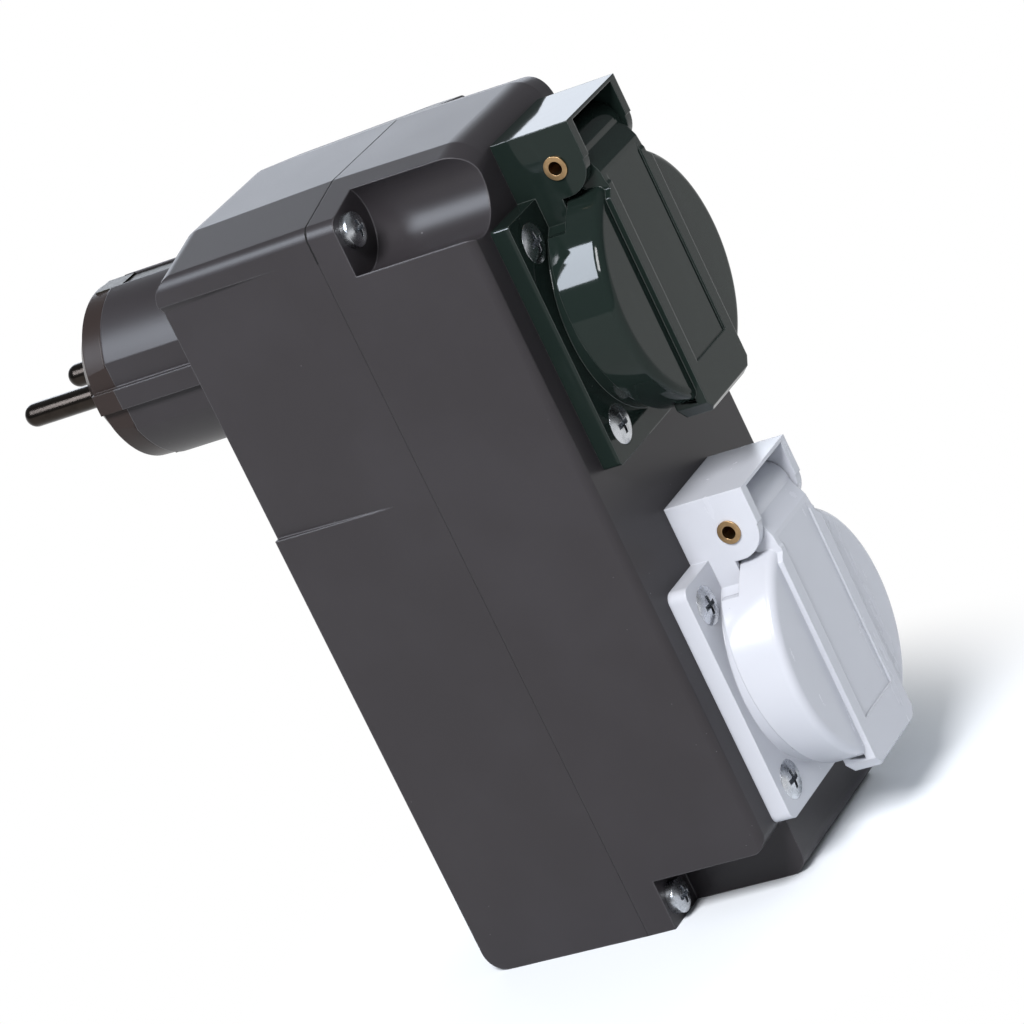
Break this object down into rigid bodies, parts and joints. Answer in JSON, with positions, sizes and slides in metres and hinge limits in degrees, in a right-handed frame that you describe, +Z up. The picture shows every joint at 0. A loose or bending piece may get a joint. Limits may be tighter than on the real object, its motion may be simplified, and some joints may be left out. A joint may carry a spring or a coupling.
{
  "type": "automatic switch-on adapter",
  "caption": "Plug-in box with a moulded mains plug at the back and two flange sockets under spring-hinged lids on the front.",
  "frame": {"origin": "on the base, at the middle of the housing's width and 33 mm behind its front face", "axes": "+Z up along the housing towards the plug's end, the sockets face -Y, the plug points along +Y, X runs across"},
  "size_m": [0.0646, 0.1411, 0.156],
  "materials": {
    "body_plastic": "satin moulded",
    "socket_black": "glossy moulded",
    "socket_grey": "satin gloss moulded",
    "plug_black": "glossy moulded",
    "carrier_brown": "moulded thermoset",
    "zinc_steel": "zinc plated",
    "pin_nickel": "nickel plated",
    "strip_brass": "rolled strip",
    "contact_brass": "stamped",
    "rivet_brass": "rolled tube",
    "spring_steel": "drawn wire",
    "seal_rubber": "soft",
    "board_green": "glass fibre board",
    "core_steel": "laminated core",
    "relay_case": "moulded case",
    "capacitor_film": "moulded case",
    "capacitor_sleeve": "shrunk sleeve",
    "varistor_blue": "dipped",
    "fuse_ceramic": "plain",
    "block_grey": "moulded",
    "wire_brown": "insulation",
    "wire_blue": "insulation",
    "wire_earth": "insulation"
  },
  "bodies": {
    "housing": {"rear_shell": "body_plastic", "front_shell": "body_plastic", "housing_screws": "zinc_steel", "plug_insert": "plug_black", "plug_pins": "pin_nickel", "plug_earth_strap": "strip_brass", "circuit_board": "board_green", "board_screws": "zinc_steel", "transformer": "core_steel", "relay": "relay_case", "film_capacitor": "capacitor_film", "filter_capacitors": "capacitor_sleeve", "varistor": "varistor_blue", "fuse": "fuse_ceramic", "terminal_block": "block_grey", "live_wires": "wire_brown", "neutral_wires": "wire_blue", "earth_wires": "wire_earth", "upper_socket_body": "socket_black", "upper_contact_carrier": "carrier_brown", "upper_contacts": "contact_brass", "upper_earth_clips": "strip_brass", "upper_flange_screws": "zinc_steel", "upper_hinge_pin": "rivet_brass", "upper_hinge_spring": "spring_steel", "lower_socket_body": "socket_grey", "lower_contact_carrier": "carrier_brown", "lower_contacts": "contact_brass", "lower_earth_clips": "strip_brass", "lower_flange_screws": "zinc_steel", "lower_hinge_pin": "rivet_brass", "lower_hinge_spring": "spring_steel"},
    "upper_lid": {"upper_lid": "socket_black", "upper_lid_seal": "seal_rubber"},
    "lower_lid": {"lower_lid": "socket_grey", "lower_lid_seal": "seal_rubber"}
  },
  "joints": [
    {"name": "upper_lid_hinge", "type": "hinge", "parent": "housing", "child": "upper_lid", "pos_m": [0, -0.0438, 0.1438], "axis": [-1, 0, 0], "range_deg": [0, 90], "stiffness_Nm_per_rad": 0.012, "springref_deg": -45.84},
    {"name": "lower_lid_hinge", "type": "hinge", "parent": "housing", "child": "lower_lid", "pos_m": [0, -0.0438, 0.0668], "axis": [-1, 0, 0], "range_deg": [0, 90], "stiffness_Nm_per_rad": 0.012, "springref_deg": -45.84}
  ]
}
